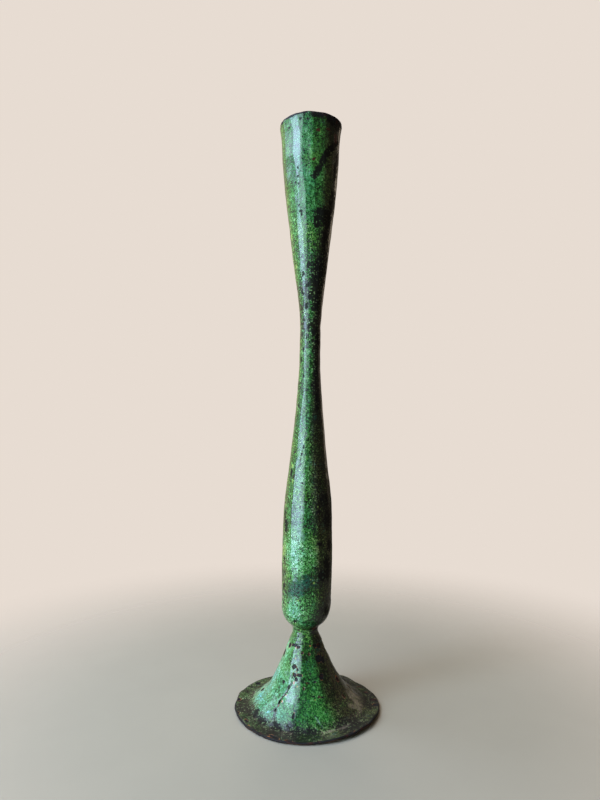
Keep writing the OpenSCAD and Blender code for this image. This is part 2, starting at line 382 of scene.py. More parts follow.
# Dark red-brown spots, where the old iron shows through thin finish.
RUST_SPOTS = [
    (13, 339.5, 1.0, 0.8, 0), (5, 322.3, 0.8, 0.8, 0), (34, 341, 1.4, 0.7, 0), (58, 338, 1.6, 2.6, 0),
    (-32, 46.6, 0.5, 0.4, 0), (-6, 47.2, 0.4, 0.3, 0), (-26, 44.8, 0.5, 0.3, 30), (10, 118, 0.5, 0.4, 0),
    (40, 48, 1.6, 1.4, 0), (-80, 120, 0.8, 1.2, 0),
]
# Pale yellow-green flecks.
PALE_SPOTS = [
    (-56, 142.5, 0.9, 1.1, 0), (16, 76, 0.7, 0.7, 0), (-48, 134, 0.7, 1.4, 0), (24, 119.5, 0.6, 0.5, 0),
    (-62, 262, 0.9, 1.2, 0), (-70, 280, 0.8, 2.0, 0), (8, 78, 0.5, 0.5, 0), (-20, 66, 0.6, 0.5, 0),
]
# Marks on the foot: (azimuth, radius, half width across, half length along the slope, lean).
FOOT_CHIPS = [
    (-46, 9.9, 0.8, 1.0, 0), (-62, 10.4, 0.9, 1.2, 0), (-34, 9.8, 1.0, 0.9, -10), (-24, 10.2, 0.9, 0.8, 0),
    (-10, 11.4, 0.6, 0.5, 20), (34, 9.9, 1.1, 1.0, 16), (10, 11.6, 0.5, 0.5, 0), (52, 10.2, 1.4, 1.2, 0),
    (36, 12.9, 1.7, 1.7, 12), (48, 13.4, 1.2, 1.6, 0), (-29, 14.4, 1.15, 1.1, 0), (-19, 14.9, 0.55, 0.6, 0),
    (-25, 16.1, 0.9, 0.9, 10), (-14, 16.0, 1.3, 0.7, 0), (-20, 17.0, 0.7, 0.8, 0), (-47, 18.3, 0.9, 0.8, 0),
    (31, 16.6, 1.25, 1.3, 30), (16, 17.4, 0.6, 0.5, 0), (4, 17.6, 1.2, 0.35, 4), (-5, 18.9, 0.45, 0.5, 0),
    (18, 21.3, 0.6, 0.45, 0), (24, 21.6, 0.75, 0.4, 0), (10, 21.0, 0.9, 0.3, 10), (-33, 19.2, 0.5, 0.8, 20),
    (44, 20.0, 0.5, 0.5, 0), (-16, 28.0, 0.55, 1.5, 0), (62, 24.0, 0.8, 1.0, 0), (70, 19.0, 1.0, 1.2, 0),
    (-44, 42.0, 1.4, 0.6, 0), (-58, 40.2, 1.2, 0.7, 0), (-38, 41.4, 0.9, 0.5, 0), (-26, 40.8, 2.6, 0.8, 10),
    (-14, 41.4, 1.6, 0.5, 0), (86, 40.6, 1.5, 1.3, 0), (94, 41.6, 1.3, 0.8, 0), (-72, 41.6, 1.2, 0.5, 0),
    (34, 41.4, 1.6, 0.5, 0), (8, 42.0, 1.4, 0.4, 0),
]
# Orange rust that shows at the long weld and the chips above it.
EMBERS = [
    (-28, 12.6, 0.35, 0.5, 0), (-24, 17.8, 0.45, 0.9, 0), (-17, 18.6, 0.3, 0.6, 0),
    (-33, 21.4, 0.35, 0.6, 20),
    (-37, 23.6, 0.4, 0.7, 20), (-40, 25.4, 0.3, 0.5, 0), (-22, 15.4, 0.3, 0.3, 0), (16, 9.9, 0.5, 0.4, 0),
    (-31, 10.4, 0.4, 0.5, 0), (-52, 41.2, 0.8, 0.3, 0), (-30, 41.8, 0.9, 0.3, 0), (12, 22.0, 0.4, 0.2, 0),
]
# Painted shade in the crease at the left of the front.
CREASE_SHADE = [(-62, 33, 2.2, 2.2, 0), (-48, 34, 2.6, 1.6, 0), (-30, 34.4, 2.8, 1.2, 0)]
# The finish's ragged edge eats into a mark, so each is placed larger than it is to look.
BODY_MARK_GROWTH, FOOT_MARK_GROWTH = 1.35, 1.5


def frame_at(azimuth, radius, height, slope):
    """A point of the surface, and its directions across and along. slope is the way up the profile."""
    turn = math.radians(azimuth)
    out = np.array([math.sin(turn), -math.cos(turn), 0])
    across = np.array([math.cos(turn), math.sin(turn), 0])
    along = out * slope[0] + np.array([0, 0, slope[1]])
    return out * radius + np.array([0, 0, height]), across, along


def leaned(place, half_w, half_l, degrees):
    """A mark of that size at a place, turned in the surface."""
    centre, across, along = place
    c, s = math.cos(math.radians(degrees)), math.sin(math.radians(degrees))
    return centre, across * c - along * s, along * c + across * s, half_w, half_l


# ---- the CAD outlines, and what they say about the outer surface ----


def seam_span(node):
    """The azimuths between which a long weld lies."""
    angles = azimuth_of(node_points(node))
    middle = np.degrees(np.angle(np.exp(1j * np.radians(angles)).mean()))
    swing = turn_from(angles, middle)
    return middle + swing.min(), middle + swing.max()


SEAMS = {"foot": "foot_seam_weld", "stem_tube": "stem_seam_weld", "socket_trumpet": "socket_seam_weld"}
SPANS = {}
for shell, weld in SEAMS.items():
    low, high = seam_span(weld)
    SPANS[weld] = (low, high)
    SPANS[shell] = (high, low + 360)
OUTLINES = {
    node: outline_of(node, sum(SPANS[node]) / 2 + BESIDE_MIDDLE if node in SPANS else FULL_TURN_CUT)
    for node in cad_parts
}


def crossings(line, level, axis):
    """Where a closed outline crosses a level on one axis: the other coordinate of each crossing."""
    a, b = line, np.roll(line, -1, 0)
    over = (a[:, axis] > level) != (b[:, axis] > level)
    a, b = a[over], b[over]
    share = (level - a[:, axis]) / (b[:, axis] - a[:, axis])
    return a[:, 1 - axis] + share * (b[:, 1 - axis] - a[:, 1 - axis])


OUTER_NODES = ("foot", "foot_ring_weld", "neck", "neck_braze", "stem_cap", "cap_ring_weld", "stem_tube",
               "waist_ring_weld", "socket_trumpet")
LEVELS = np.arange(0.05, 350, 0.25)
OUTSIDE = np.array([
    max([crossings(OUTLINES[n][0], z, 1).max(initial=0) for n in OUTER_NODES]) for z in LEVELS
])
FOOT_RADII = np.arange(9.7, 42.7, 0.1)
FOOT_TOPS = np.array([crossings(OUTLINES["foot"][0], r, 0).max() for r in FOOT_RADII])


# The stem's ring welds, from below to above each, and how much of what stands out was filed away.
RING_WELDS = ((61.4, 65.0), (222.4, 226.0))
FILED = 0.9


def outside(height):
    """The outer radius at a height."""
    return np.interp(height, LEVELS, OUTSIDE)


def crown(height):
    """How far the ring welds of the stem stand out."""
    total = np.zeros(len(height))
    for low, high in RING_WELDS:
        share = np.clip((height - low) / (high - low), 0, 1)
        flush = outside(low) * (1 - share) + outside(high) * share
        total += np.where((share > 0) & (share < 1), outside(height) - flush, 0)
    return total


def foot_top(radius):
    """The height of the foot's outer surface at a radius."""
    return np.interp(radius, FOOT_RADII, FOOT_TOPS)


# ---- building a piece ----

# How deep a chip in the finish is, and how far under the foot's outer surface chips reach.
CHIP_DEPTH, CHIP_REACH = 0.14, 0.6
# The lowest that any point of the foot may be.
ABOVE_TABLE = 0.02
# Edges sharper than this stay sharp.
SHARP_EDGE = math.radians(50)


def marks_on_body(marks):
    """Marks given by azimuth and height, placed on the stem or the socket."""
    placed = []
    for azimuth, height, half_w, half_l, degrees in marks:
        rise = np.array([outside(height + 0.5) - outside(height - 0.5), 1.0])
        place = frame_at(azimuth, outside(height), height, rise / np.linalg.norm(rise))
        placed.append(leaned(place, BODY_MARK_GROWTH * half_w, BODY_MARK_GROWTH * half_l, degrees))
    return placed


def marks_on_foot(marks):
    """Marks given by azimuth and radius, placed on the foot."""
    placed = []
    for azimuth, radius, half_w, half_l, degrees in marks:
        rise = np.array([-1.0, foot_top(radius - 0.5) - foot_top(radius + 0.5)])
        place = frame_at(azimuth, radius, foot_top(radius), rise / np.linalg.norm(rise))
        placed.append(leaned(place, FOOT_MARK_GROWTH * half_w, FOOT_MARK_GROWTH * half_l, degrees))
    return placed


def strewn(low, high, count, sizes, seed):
    """Marks strewn over the back and the sides of a body, which the front's own lists leave bare."""
    draw = np.random.RandomState(seed)
    return [
        (draw.uniform(82, 278), draw.uniform(low, high), draw.uniform(*sizes), draw.uniform(*sizes) * 1.3,
         draw.uniform(-40, 40))
        for _ in range(count)
    ]


BODY_BLOTS_AND_SHADE = marks_on_body(
    BLOTS_AND_SHADE
    + strewn(232, 348, 26, (0.6, 3.0), 51)
    + strewn(66, 226, 34, (0.5, 2.6), 52)
    + strewn(50, 66, 6, (0.5, 1.4), 53)
)
BODY_RUST = marks_on_body(RUST_SPOTS + strewn(60, 348, 12, (0.4, 1.2), 54))
BODY_PALE = marks_on_body(PALE_SPOTS + strewn(60, 348, 14, (0.4, 1.2), 55))
FOOT_MARKS = marks_on_foot(
    FOOT_CHIPS
    + strewn(9.8, 20, 16, (0.5, 1.8), 56)
    + strewn(20, 42, 22, (0.5, 1.6), 57)
)
FOOT_CREASE_SHADE = marks_on_foot(CREASE_SHADE)
FOOT_EMBERS = marks_on_foot(EMBERS)


def foot_fields(azimuth, radius, height, places):
    """What the foot's material reads at each point."""
    seam = np.radians(turn_from(azimuth, FOOT_SEAM_AT)) * radius
    brim = ramp(radius, 29, 36)
    cone = 1 - brim
    right = ramp(azimuth, 20, 40) * (1 - ramp(azimuth, 120, 170))
    front = lobe(azimuth, -20, 60)
    valley = bell(radius, 33.4, 5.5) * (0.55 + 0.45 * lobe(azimuth, -40, 80))
    wide = 1.2 + 1.8 * (1 - ramp(height, 4, 15))
    # Painted light and shade: lighter at the left of the cone, darker at its front, across the front of the
    # brim and on the right side.
    tone_and_painted_light = (1.3 * lobe(azimuth, -78, 64) - 0.4 * lobe(azimuth, 4, 34)) * cone
    tone_and_painted_light -= (0.35 + 1.4 * front) * brim + 0.9 * right
    # Painted shade in the valley where the cone meets the brim.
    crease_shade = 0.9 * valley - 0.78 + 0.1 * waves(places, 6, 61)
    return {
        "chip": spot_field(places, FOOT_MARKS),
        "ember": spot_field(places, FOOT_EMBERS),
        "blot_and_shade": np.maximum(spot_field(places, FOOT_CREASE_SHADE), crease_shade),
        "line": bell(seam / wide, 0, 1) * ramp(height, 1.6, 3.4) * (1 - ramp(height, 19, 25)),
        # Dull brown on the brim, and painted shade on the right side.
        "brown_and_shade": np.clip((0.6 + 0.15 * front) * brim + right, 0, 1),
        "tone_and_painted_light": tone_and_painted_light,
        "speck": 0.10 + 0.9 * brim + 0.7 * valley + 0.3 * right,
        "calm": 0.7 * cone,
        # A bluer painted highlight on the left of the foot's cone.
        "painted_sheen_tint": -lobe(azimuth, -72, 80) * ramp(radius, 8, 18) * (1 - 0.6 * brim),
        "bare": np.maximum(ramp(radius, 41.7, 42.3), 1 - ramp(height, 0.1, 0.5)),
    }


def body_fields(azimuth, radius, height, places):
    """What the material of the stem, the neck or the socket reads at each point."""
    azimuth = turn_from(azimuth, 0)
    # A dark teal band low on the stem, a painted mint highlight at the left of the front above and below it,
    # and a light stretch above it.
    swing = turn_from(azimuth, -12)
    band = bell(height, 74.5 + 0.1 * swing, 9.5) * bell(swing, 10, 90)
    painted_mint_highlight = lobe(azimuth, -32, 34) * (bell(height, 60, 11) + 0.8 * bell(height, 92, 16))
    light = bell(height, 92, 20) - 1.5 * ramp(height, 98, 118) * (1 - ramp(height, 160, 215))
    # The waist is dark and worn. The right side carries painted shade, darker and browner, further round in
    # some places than in others.
    waist = bell(height, 226, 60)
    left = lobe(azimuth, -68, 26)
    side = turn_from(azimuth, 62)
    early = 24 * bell(height, 145, 90) + 14 * bell(height, 250, 50)
    right = ramp(side + early, -46, -16) * (1 - ramp(side, 40, 110))
    # Lighter in the painted mint highlight; darker in the band and the waist; painted shade on the neck under
    # the cap, on the right side, on the band's right, on the cap's right and right of the socket's front
    # flats.
    tone_and_painted_light = 0.35 * light + 0.9 * painted_mint_highlight - 0.2 * band - 0.4 * waist - 0.4 * bell(height, 44, 9)
    tone_and_painted_light -= (1.1 - 0.5 * ramp(height, 260, 300)) * right + 1.4 * ramp(azimuth, -14, 16) * band
    tone_and_painted_light -= 1.5 * ramp(azimuth, -6, 26) * bell(height, 56, 14)
    tone_and_painted_light -= 0.3 * ramp(azimuth, 2, 8) * ramp(height, 300, 320)
    speck = 0.14 + 1.2 * waist + 0.4 * band + 0.3 * right
    speck += 0.3 * bell(height, 58, 14) * (1 - painted_mint_highlight) + 0.8 * left * bell(height, 88, 34)
    # Painted reflection: yellower at the left edge of the stem, and bluer in the painted mint highlight and
    # at the front left of the socket.
    painted_sheen_tint = 0.6 * lobe(azimuth, -82, 36) * ramp(height, 56, 76) - 0.5 * painted_mint_highlight
    painted_sheen_tint -= 0.4 * lobe(azimuth, -20, 50) * ramp(height, 270, 310)
    rim = 348.0 - 2.2 * bell(side, 0, 70) + 0.4 * waves(places, 5, 62)
    return {
        "blot_and_shade": spot_field(places, BODY_BLOTS_AND_SHADE),
        "rust": spot_field(places, BODY_RUST),
        "pale": spot_field(places, BODY_PALE),
        "line": bell(height, 63.2, 0.4) * lobe(azimuth, 2, 16),
        "teal": band * (1 - 0.8 * ramp(azimuth, -6, 16)),
        # Painted shade on the right side, as dull brown.
        "brown_and_shade": 0.92 * right,
        "tone_and_painted_light": tone_and_painted_light,
        "speck": speck,
        "calm": 0.95 * ramp(height, 272, 312),
        "painted_sheen_tint": painted_sheen_tint,
        "bare": ramp(height, rim, rim + 1.0),
    }


# What a material reads where a piece's own fields say nothing. The first five are marks, and the blots also
# hold painted shade. A line is dark, the tone field lightens the green and also carries painted light and
# shade, speck adds specks, calm weakens the mottling, and the tint field is a painted reflection, yellower
# above 0 and bluer below 0.
PLAIN = {
    "chip": -1, "blot_and_shade": -1, "rust": -1, "pale": -1, "ember": -1,
    "line": 0, "teal": 0, "brown_and_shade": 0, "tone_and_painted_light": 0, "speck": 0.2, "calm": 0, "painted_sheen_tint": 0, "bare": 0, "inside": 0,
}


def grid_faces(rows, columns, ring, full):
    """Quads over a grid of points: closed along the outline if ring, and round the axis if full."""
    i = np.arange(rows if ring else rows - 1)[:, None]
    j = np.arange(columns if full else columns - 1)[None, :]
    after_i, after_j = (i + 1) % rows, (j + 1) % columns
    corners = (i * columns + j, i * columns + after_j, after_i * columns + after_j, after_i * columns + j)
    grid = np.stack([np.broadcast_to(c, (i.shape[0], j.shape[1])) for c in corners], -1)
    faces = grid.reshape(-1, 4).tolist()
    if not ring:
        faces.append(list(range(columns))[::-1])
        faces.append([(rows - 1) * columns + j for j in range(columns)])
    if not full:
        faces.append([i * columns for i in range(rows)])
        faces.append([i * columns + columns - 1 for i in range(rows)][::-1])
    return faces


def away_from_axis(azimuth):
    """A level unit vector for each azimuth."""
    turn = np.radians(azimuth)
    return np.column_stack((np.sin(turn), -np.cos(turn)))


def inner_side(depth):
    """1 on a wall's inner side and 0 on its outer side, from the depth under the outer surface."""
    return ramp(depth, 0.5, 1.0)


def foot_points(azimuth, radius, height):
    """The foot's directions away from the axis, its radii and heights, and what its material reads."""
    level = np.maximum(height, foot_top(radius))
    bent = wandering(azimuth, level)
    out = away_from_axis(bent)
    places = np.column_stack((out * radius[:, None], level))
    normal, outward, upward = foot_shape(bent, azimuth, radius, level, places)
    fields = foot_fields(azimuth, radius, level, places)
    fields["chip"] = np.where(height < level - CHIP_REACH, -1, fields["chip"])
    fields["inside"] = inner_side(level - height)
    normal -= CHIP_DEPTH * ramp(fields["chip"], 0.0, 0.35)
    rise = foot_top(radius - 0.5) - foot_top(radius + 0.5)
    size = np.hypot(rise, 1)
    height = np.maximum(height + normal / size + upward, ABOVE_TABLE)
    return out, radius + normal * rise / size + outward, height, fields


def body_points(group, azimuth, radius, height):
    """The same for a piece of the stem, the neck or the socket."""
    out = away_from_axis(azimuth)
    skin = outside(height)
    places = np.column_stack((out * skin[:, None], height))
    fields = body_fields(azimuth, radius, height, places)
    fields["inside"] = inner_side(skin - radius)
    if group in ("stem", "socket", "cap"):
        outward, upward = stem_shape(group, azimuth, skin, height, places)
        radius, height = radius + outward - FILED * crown(height), height + upward
    elif group == "neck":
        radius = radius + 0.12 * waves(places, 9, 46) + 0.04 * waves(places, 3, 47)
    return out, radius, height, fields


def displaced(group, azimuth, radius, height):
    """The points of a piece, and what its material reads there."""
    if group == "foot":
        out, radius, height, fields = foot_points(azimuth, radius, height)
    else:
        out, radius, height, fields = body_points(group, azimuth, radius, height)
    points = np.column_stack((out * radius[:, None], height))
    points[:, 0] += lean(points[:, 2])
    return points, fields


def build(node, material):
    """One piece in the place of its CAD node."""
    spec = PIECES[node]
    line, closed = OUTLINES[node]
    line = resampled(line, closed, *spec["steps"])
    if not closed:
        line = line[1:-1]
    line = softened(line, closed, ROUNDED.get(spec["group"], never))
    rows, columns = len(line), spec["columns"]
    full = node not in SPANS
    start, end = (-180, 180) if full else SPANS[node]
    angles = np.linspace(start, end, columns, endpoint=not full)
    azimuth = np.tile(angles, rows)
    radius, height = np.repeat(line[:, 0], columns), np.repeat(line[:, 1], columns)
    points, fields = displaced(spec["group"], azimuth, radius, height)
    mesh = bpy.data.meshes.new(node + "_skin")
    mesh.from_pydata((points * MM).tolist(), [], grid_faces(rows, columns, closed, full))
    for name, plain in PLAIN.items():
        values = fields.get(name, np.full(len(points), plain))
        attribute = mesh.attributes.new(name, "FLOAT", "POINT")
        attribute.data.foreach_set("value", values.astype(np.float32))
    mesh.shade_smooth()
    mesh.set_sharp_from_angle(angle=SHARP_EDGE)
    mesh.materials.append(material)
    piece = bpy.data.objects.new(node + "_skin", mesh)
    bpy.context.scene.collection.objects.link(piece)
    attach(piece, "root")
    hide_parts(node)
    return piece


def never(radius, height):
    """No point of an outline is rounded."""
    return np.zeros(len(radius), bool)


# Where each group of pieces has free edges, which are rounded.
ROUNDED = {
    "foot": lambda radius, height: radius > 40.5,
    "socket": lambda radius, height: height > 347,
    "cup": lambda radius, height: radius > 0.5,
}
# Each piece has as many columns as run round it, and steps along its outline: fine outside, coarse inside.
PIECES = {
    node: {"group": group, "columns": columns, "steps": steps, "slot": slot}
    for node, group, columns, steps, slot in (
        ("foot", "foot", 470, (0.5, 2.0), "green_patina"),
        ("foot_seam_weld", "foot", 8, (0.5, 2.0), "seam_patina"),
        ("foot_ring_weld", "neck", 180, (0.25, 0.6), "seam_patina"),
        ("neck", "neck", 180, (0.3, 1.0), "green_patina"),
        ("neck_braze", "neck", 180, (0.2, 0.4), "seam_patina"),
        ("stem_cap", "cap", 240, (0.35, 1.2), "green_patina"),
        ("cap_ring_weld", "stem", 240, (0.25, 0.6), "seam_patina"),
        ("stem_tube", "stem", 196, (0.5, 3.0), "green_patina"),
        ("stem_seam_weld", "stem", 7, (0.5, 3.0), "seam_patina"),
        ("waist_ring_weld", "stem", 160, (0.2, 0.6), "seam_patina"),
        ("socket_trumpet", "socket", 252, (0.5, 1.5), "green_patina"),
        ("socket_seam_weld", "socket", 8, (0.5, 1.5), "seam_patina"),
        ("candle_cup", "cup", 160, (0.5, 0.8), "dark_iron"),
        ("cup_braze", "cup", 160, (0.25, 0.3), "dark_iron"),
    )
}


# ---- materials ----


# How fine the noise is that wobbles a pattern's coordinates.
STIR_SCALE = 700


class Graph:
    """A node material, built up by short calls that return sockets."""

    def __init__(self, name):
        self.material = bpy.data.materials.new(name)
        self.material.use_nodes = True
        self.tree = self.material.node_tree
        self.shader = self.tree.nodes["Principled BSDF"]
        self.coordinates = self.tree.nodes.new("ShaderNodeTexCoord").outputs["Object"]

    def put(self, socket, value):
        """Links a socket to an input, or sets the input's own value."""
        if isinstance(value, bpy.types.NodeSocket):
            self.tree.links.new(value, socket)
        elif isinstance(value, tuple) and len(value) == 3 and socket.type == "RGBA":
            socket.default_value = (*value, 1)
        else:
            socket.default_value = value

    def node(self, kind, **settings):
        made = self.tree.nodes.new(kind)
        for key, value in settings.items():
            setattr(made, key, value)
        return made

    def noise(self, scale, detail=4.0, roughness=0.55, distortion=0.0, where=None):
        made = self.node("ShaderNodeTexNoise")
        self.put(made.inputs["Vector"], where or self.coordinates)
        settings = {"Scale": scale, "Detail": detail, "Roughness": roughness, "Distortion": distortion}
        for key, value in settings.items():
            made.inputs[key].default_value = value
        return made.outputs["Fac"]

    def cells(self, scale, where):
        """Distance to the nearest cell's middle, and that cell's own random number."""
        made = self.node("ShaderNodeTexVoronoi")
        self.put(made.inputs["Vector"], where)
        made.inputs["Scale"].default_value = scale
        parts = self.node("ShaderNodeSeparateColor")
        self.put(parts.inputs["Color"], made.outputs["Color"])
        return made.outputs["Distance"], parts.outputs["Red"]

    def shifted(self, by, wobble=0.0):
        """The coordinates moved along, so that patterns don't line up, and wobbled a little."""
        made = self.node("ShaderNodeVectorMath", operation="ADD")
        self.put(made.inputs[0], self.coordinates)
        made.inputs[1].default_value = (by, by / 2, -by)
        if not wobble:
            return made.outputs["Vector"]
        stir = self.node("ShaderNodeTexNoise")
        self.put(stir.inputs["Vector"], self.coordinates)
        stir.inputs["Scale"].default_value = STIR_SCALE
        reach = self.node("ShaderNodeVectorMath", operation="SCALE")
        self.put(reach.inputs[0], stir.outputs["Color"])
        reach.inputs["Scale"].default_value = wobble
        moved = self.node("ShaderNodeVectorMath", operation="ADD")
        self.put(moved.inputs[0], made.outputs["Vector"])
        self.put(moved.inputs[1], reach.outputs["Vector"])
        return moved.outputs["Vector"]

    def math(self, operation, a, b=0.0, clamp=False):
        made = self.node("ShaderNodeMath", operation=operation, use_clamp=clamp)
        self.put(made.inputs[0], a)
        self.put(made.inputs[1], b)
        return made.outputs["Value"]

    def times(self, a, b, clamp=False):
        return self.math("MULTIPLY", a, b, clamp)

    def plus(self, a, b):
        return self.math("ADD", a, b)

    def most(self, a, b):
        return self.math("MAXIMUM", a, b)

    def weighed(self, *terms, base=0.5):
        """base plus each term's weight times its distance from its middle, 0.5 unless it is given."""
        total = base
        for value, weight, *middle in terms:
            offset = self.math("SUBTRACT", value, middle[0] if middle else 0.5)
            total = self.plus(self.times(offset, weight), total)
        return total

    def scaled(self, colour, factors):
        """A colour times three factors."""
        made = self.node("ShaderNodeVectorMath", operation="MULTIPLY")
        self.put(made.inputs[0], colour)
        made.inputs[1].default_value = factors
        return made.outputs["Vector"]

    def step(self, value, low, high, to_low=0.0, to_high=1.0):
        """A smooth step from to_low to to_high as value goes from low to high."""
        made = self.node("ShaderNodeMapRange", interpolation_type="SMOOTHSTEP")
        entries = {"Value": value, "From Min": low, "From Max": high, "To Min": to_low, "To Max": to_high}
        for key, entry in entries.items():
            self.put(made.inputs[key], entry)
        return made.outputs["Result"]

    def mix(self, share, a, b):
        """From colour a to colour b by a share."""
        made = self.node("ShaderNodeMix", data_type="RGBA")
        self.put(made.inputs[0], share)
        self.put(made.inputs[6], a)
        self.put(made.inputs[7], b)
        return made.outputs[2]

    def ramp(self, value, stops):
        """A colour ramp. stops is a list of (position, colour)."""
        made = self.node("ShaderNodeValToRGB")
        self.put(made.inputs["Fac"], value)
        elements = made.color_ramp.elements
        while len(elements) < len(stops):
            elements.new(0.5)
        for element, (position, colour) in zip(elements, stops):
            element.position = position
            element.color = (*colour, 1)
        return made.outputs["Color"]

    def read(self, name):
        """A field that the mesh carries."""
        return self.node("ShaderNodeAttribute", attribute_name=name).outputs["Fac"]

    def bumps(self, *layers):
        """Layers of (height, depth in metres, perhaps a strength), one over the other."""
        normal = None
        for height, depth, *strength in layers:
            made = self.node("ShaderNodeBump")
            made.inputs["Distance"].default_value = depth
            self.put(made.inputs["Strength"], strength[0] if strength else 1.0)
            self.put(made.inputs["Height"], height)
            if normal:
                self.put(made.inputs["Normal"], normal)
            normal = made.outputs["Normal"]
        return normal

    def finish(self, **sockets):
        """Sets the shader's inputs, and returns the material."""
        for name, value in sockets.items():
            self.put(self.shader.inputs[name.replace("_", " ")], value)
        return self.material


BLACK_BROWN = (0.006, 0.005, 0.004)
IRON = (0.010, 0.009, 0.010)
RUST = (0.32, 0.11, 0.035)
DEEP_RUST = (0.060, 0.016, 0.010)


